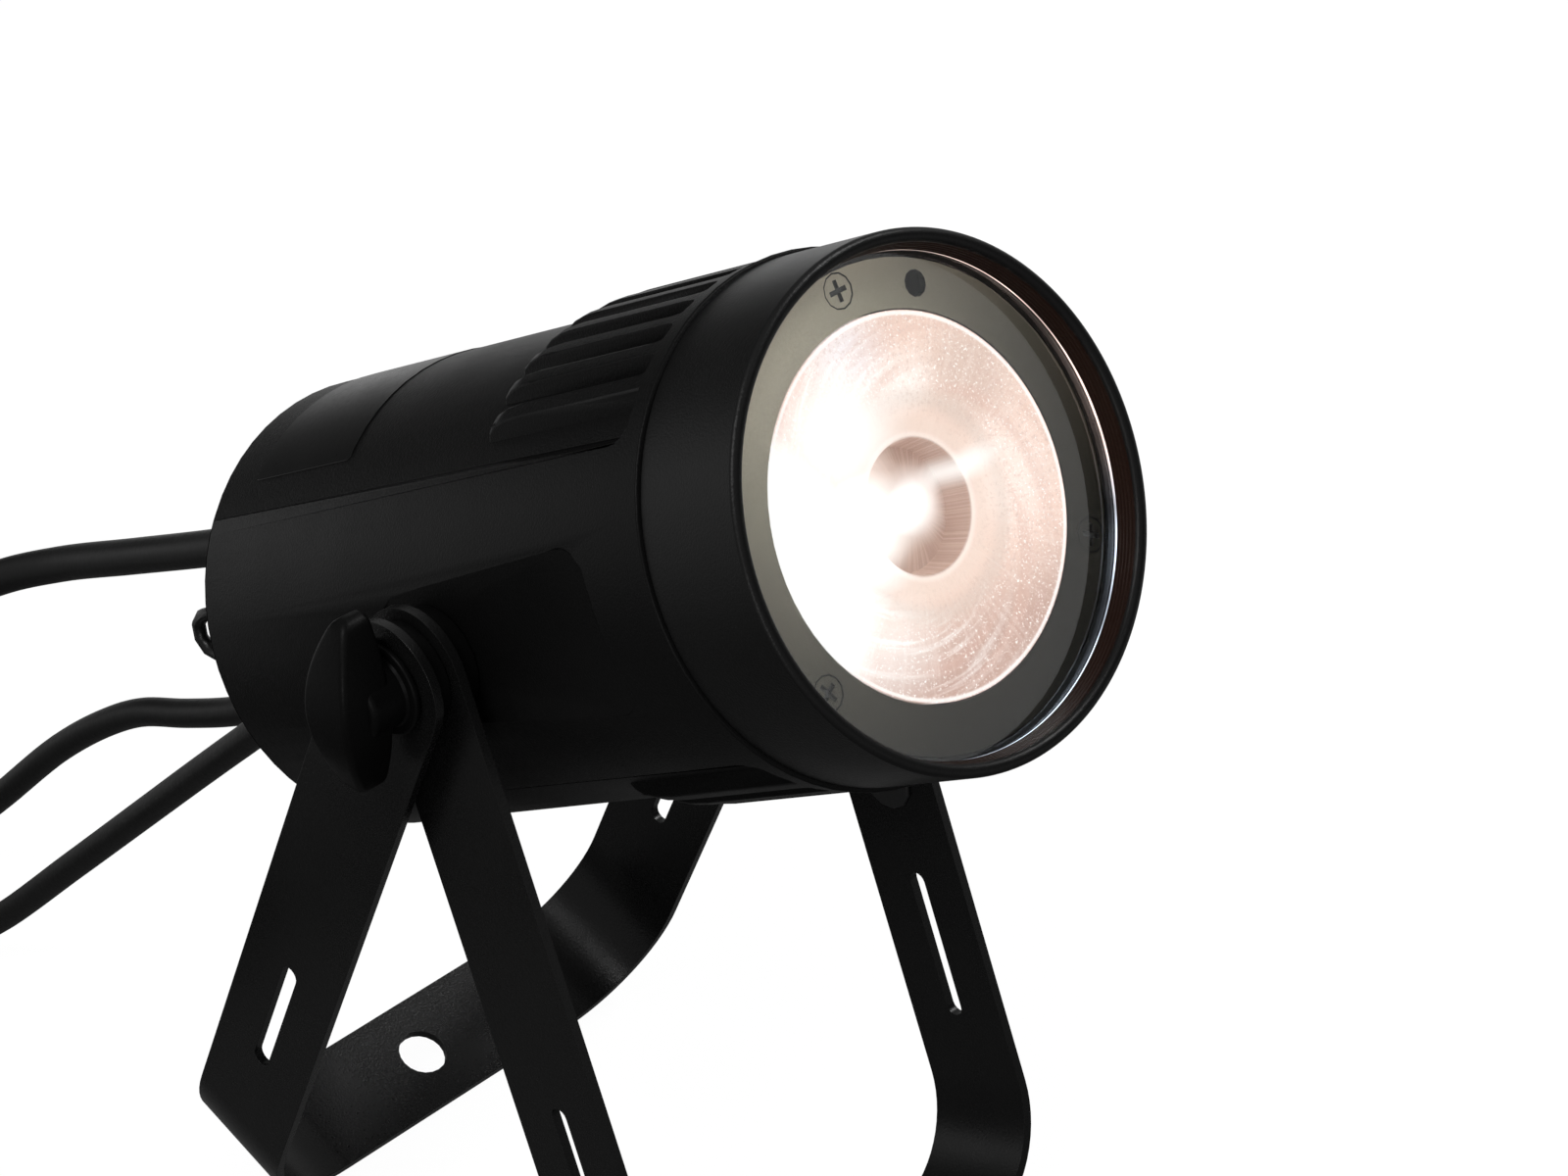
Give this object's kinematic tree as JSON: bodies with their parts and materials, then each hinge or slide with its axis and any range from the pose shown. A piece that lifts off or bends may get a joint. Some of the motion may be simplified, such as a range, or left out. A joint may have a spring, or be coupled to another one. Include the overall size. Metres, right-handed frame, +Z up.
{
  "type": "pinspot light",
  "caption": "Round pinspot light that tilts between two bent straps, which spread into a floor stand; wing knobs clamp the tilt. Mains cord with plug and data cords at the rear.",
  "frame": {"origin": "on the floor, under the middle of the object's box without its cords", "axes": "+Z up; +X along the pivot, toward the lamp's left as seen from behind; the lamp shines toward -Y, tilted up"},
  "size_m": [0.267, 0.3961, 0.2528],
  "materials": {
    "casting": "satin black paint on cast aluminium",
    "steel_paint": "satin black powder paint on steel strap",
    "black_plastic": "black moulded plastic",
    "plate": "matt black sheet",
    "rubber": "matt black rubber",
    "cable": "satin black cable sheath",
    "glass": "clear polished glass",
    "lens": "clear moulded lens",
    "steel": "turned steel",
    "black_screw": "blackened steel",
    "brass": "turned brass",
    "aluminium": "bare aluminium",
    "board": "green circuit board",
    "emitter": "yellow phosphor and tape",
    "label": "dark satin film",
    "display": "dark tinted window"
  },
  "bodies": {
    "stand": {"outer_bracket": "steel_paint", "leg_spacer_left": "black_plastic", "leg_spacer_right": "black_plastic", "mains_cord": "cable", "mains_coil": "cable", "mains_tie": "rubber", "mains_cord_end": "cable", "mains_plug": "rubber", "plug_pin_1": "brass", "plug_pin_2": "brass", "data_cord_a": "cable", "data_connector_a": "steel", "data_cord_b": "cable", "data_connector_b": "steel"},
    "inner_stand": {"inner_bracket": "steel_paint", "bracket_pad_left": "rubber", "bracket_pad_right": "rubber"},
    "lamp": {"housing": "casting", "front_ring": "casting", "front_glass": "glass", "glass_seal": "rubber", "lens_plate": "plate", "plate_screw_1": "black_screw", "plate_screw_2": "black_screw", "plate_screw_3": "black_screw", "lens": "lens", "lens_holder": "black_plastic", "led_board": "board", "led_emitter": "emitter", "heat_spreader": "aluminium", "power_board": "board", "power_transformer": "emitter", "power_capacitor": "black_plastic", "driver_board": "board", "driver_coil": "brass", "rear_cover": "casting", "display_window": "display", "cover_screw_1": "black_screw", "cover_screw_2": "black_screw", "cover_screw_3": "black_screw", "cover_screw_4": "black_screw", "safety_eyelet": "steel_paint", "mains_strain_relief": "rubber", "data_strain_relief_a": "rubber", "data_strain_relief_b": "rubber", "label": "label", "pivot_insert_left": "brass", "pivot_insert_right": "brass", "body_spacer_left": "black_plastic", "body_spacer_right": "black_plastic"},
    "knob_left_turn": {"knob_left": "black_plastic", "knob_stud_left": "steel"},
    "knob_right_turn": {"knob_right": "black_plastic", "knob_stud_right": "steel"},
    "button_1_press": {"button_1": "rubber"},
    "button_2_press": {"button_2": "rubber"},
    "button_3_press": {"button_3": "rubber"},
    "button_4_press": {"button_4": "rubber"}
  },
  "joints": [
    {"name": "lamp_tilt", "type": "hinge", "parent": "stand", "child": "lamp", "pos_m": [0, 0.01031, 0.16425], "axis": [1, 0, 0], "range_deg": [-63.7, 116.3], "deforming": ["mains_cord", "data_cord_a", "data_cord_b"]},
    {"name": "bracket_fold", "type": "hinge", "parent": "stand", "child": "inner_stand", "pos_m": [0, 0.01031, 0.16425], "axis": [1, 0, 0], "range_deg": [-135.6, 44.4]},
    {"name": "knob_left_loosen", "type": "hinge", "parent": "lamp", "child": "knob_left_turn", "pos_m": [0, 0.01031, 0.16425], "axis": [-1, 0, 0], "range_deg": [0, 450]},
    {"name": "knob_right_loosen", "type": "hinge", "parent": "lamp", "child": "knob_right_turn", "pos_m": [0, 0.01031, 0.16425], "axis": [1, 0, 0], "range_deg": [0, 450]},
    {"name": "button_1_slide", "type": "slide", "parent": "lamp", "child": "button_1_press", "axis": [0, -0.8963, 0.4434], "range_m": [0, 0.0006], "stiffness_N_per_m": 300},
    {"name": "button_2_slide", "type": "slide", "parent": "lamp", "child": "button_2_press", "axis": [0, -0.8963, 0.4434], "range_m": [0, 0.0006], "stiffness_N_per_m": 300},
    {"name": "button_3_slide", "type": "slide", "parent": "lamp", "child": "button_3_press", "axis": [0, -0.8963, 0.4434], "range_m": [0, 0.0006], "stiffness_N_per_m": 300},
    {"name": "button_4_slide", "type": "slide", "parent": "lamp", "child": "button_4_press", "axis": [0, -0.8963, 0.4434], "range_m": [0, 0.0006], "stiffness_N_per_m": 300}
  ]
}
